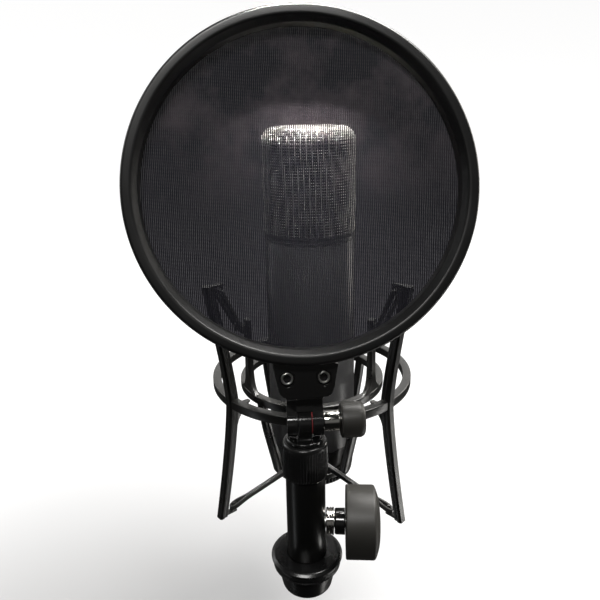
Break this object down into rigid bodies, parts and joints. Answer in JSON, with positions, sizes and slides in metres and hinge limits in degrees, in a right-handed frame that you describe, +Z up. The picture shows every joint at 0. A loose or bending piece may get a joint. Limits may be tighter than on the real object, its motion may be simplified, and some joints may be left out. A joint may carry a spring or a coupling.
{
  "type": "condenser microphone",
  "caption": "Side-address condenser microphone in an elastic shock mount on a short post with a hinged round pop filter and clamp knobs.",
  "frame": {"origin": "centre of the bottom face of the stand collar, on the axis of the post, where a stand's thread goes in", "axes": "+Z up along the post; +Y from the post to the microphone, away from the speaker; +X to the right as the speaker sees it, where both clamp knobs are"},
  "size_m": [0.1498, 0.171, 0.2654],
  "materials": {
    "satin_black": "black anodised, satin",
    "moulded_black": "moulded glass-filled nylon, fine grain",
    "gloss_black": "glossy black moulding",
    "rim_black": "satin black moulding",
    "knob_grey": "satin charcoal soft-touch moulding",
    "mic_body_metal": "dark grey satin paint",
    "grille_mesh": "dark woven wire",
    "bright_chrome": "polished plate",
    "steel": "plated steel",
    "insert_brass": "turned brass",
    "gold": "gold plate or gold-sputtered film",
    "elastic_rubber": "matt black elastomer",
    "mesh_cloth": "black knitted mesh",
    "red_fibre": "dark red fibre washer",
    "board_green": "solder mask"
  },
  "bodies": {
    "stand": {"stand_collar": "satin_black", "thread_insert": "insert_brass"},
    "post": {"post_tube": "satin_black", "collet": "moulded_black", "clamp_nut": "steel", "clamp_spacer": "moulded_black"},
    "shock_frame": {"outer_frame": "moulded_black", "frame_arm": "moulded_black", "elastic_lower_front": "elastic_rubber", "elastic_lower_rear": "elastic_rubber", "elastic_upper_left": "elastic_rubber", "elastic_upper_right": "elastic_rubber", "elastic_upper_rear": "elastic_rubber"},
    "clamp_knob": {"tilt_stud": "steel", "stud_washer": "bright_chrome", "tilt_hub": "gloss_black", "tilt_knob": "knob_grey"},
    "collar": {"lock_collar": "satin_black"},
    "bush": {"stem_bush": "moulded_black"},
    "stem": {"pop_stem": "gloss_black", "stem_clip": "steel", "hinge_washer_left": "moulded_black", "hinge_washer_right": "red_fibre"},
    "filter": {"pop_bracket": "gloss_black", "hinge_nut": "steel", "bracket_screw_left": "steel", "bracket_screw_right": "steel", "bracket_nut_left": "steel", "bracket_nut_right": "steel", "front_rim": "rim_black", "rear_rim": "rim_black", "pop_mesh": "mesh_cloth"},
    "hinge_knob": {"hinge_screw": "bright_chrome", "small_knob": "knob_grey"},
    "cradle": {"cradle_ring": "moulded_black", "upright_left": "moulded_black", "upright_right": "moulded_black", "upright_rear": "moulded_black", "strut_front_left": "moulded_black", "strut_front_right": "moulded_black", "strut_rear_left": "moulded_black", "strut_rear_right": "moulded_black", "cradle_base": "moulded_black", "mic_base": "mic_body_metal", "xlr_insert": "moulded_black", "xlr_pin_1": "gold", "xlr_pin_2": "gold", "xlr_pin_3": "gold", "mic_body": "mic_body_metal", "circuit_board": "board_green", "rail_left": "steel", "rail_right": "steel", "head_base": "mic_body_metal", "grille": "grille_mesh", "grille_hoop": "steel", "capsule_saddle": "moulded_black", "capsule": "insert_brass", "diaphragm_front": "gold", "diaphragm_rear": "gold"},
    "retainer": {"retaining_ring": "satin_black"}
  },
  "joints": [
    {"name": "stand_swivel", "type": "hinge", "parent": "stand", "child": "post", "pos_m": [0, 0, 0.0145], "axis": [0, 0, 1], "continuous": true},
    {"name": "mount_tilt", "type": "hinge", "parent": "post", "child": "shock_frame", "pos_m": [0, 0, 0.0359], "axis": [1, 0, 0], "range_deg": [-45, 8]},
    {"name": "clamp_knob_turn", "type": "hinge", "parent": "post", "child": "clamp_knob", "pos_m": [0.02, 0, 0.0359], "axis": [1, 0, 0], "range_deg": [0, 360]},
    {"name": "collar_turn", "type": "hinge", "parent": "post", "child": "collar", "pos_m": [0, 0, 0.07], "axis": [0, 0, 1], "range_deg": [0, 180]},
    {"name": "stem_height", "type": "slide", "parent": "post", "child": "bush", "axis": [0, 0, 1], "range_m": [0, 0.014]},
    {"name": "stem_turn", "type": "hinge", "parent": "bush", "child": "stem", "pos_m": [0, 0, 0.048], "axis": [0, 0, 1], "range_deg": [-35, 18]},
    {"name": "filter_tilt", "type": "hinge", "parent": "stem", "child": "filter", "pos_m": [0, 0, 0.0889], "axis": [0.9925, 0.1219, 0], "range_deg": [-12, 80]},
    {"name": "hinge_knob_turn", "type": "hinge", "parent": "filter", "child": "hinge_knob", "pos_m": [0, 0, 0.0889], "axis": [0.9925, 0.1219, 0], "range_deg": [0, 360]},
    {"name": "cradle_float", "type": "slide", "parent": "shock_frame", "child": "cradle", "axis": [0, 0, 1], "range_m": [-0.004, 0.004], "stiffness_N_per_m": 1500, "springref_m": 0.00275, "deforming": ["elastic_lower_front", "elastic_lower_rear", "elastic_upper_left", "elastic_upper_right", "elastic_upper_rear"]},
    {"name": "retainer_turn", "type": "hinge", "parent": "cradle", "child": "retainer", "pos_m": [0, 0.085, 0.0117], "axis": [0, 0, 1], "range_deg": [0, 360]}
  ]
}
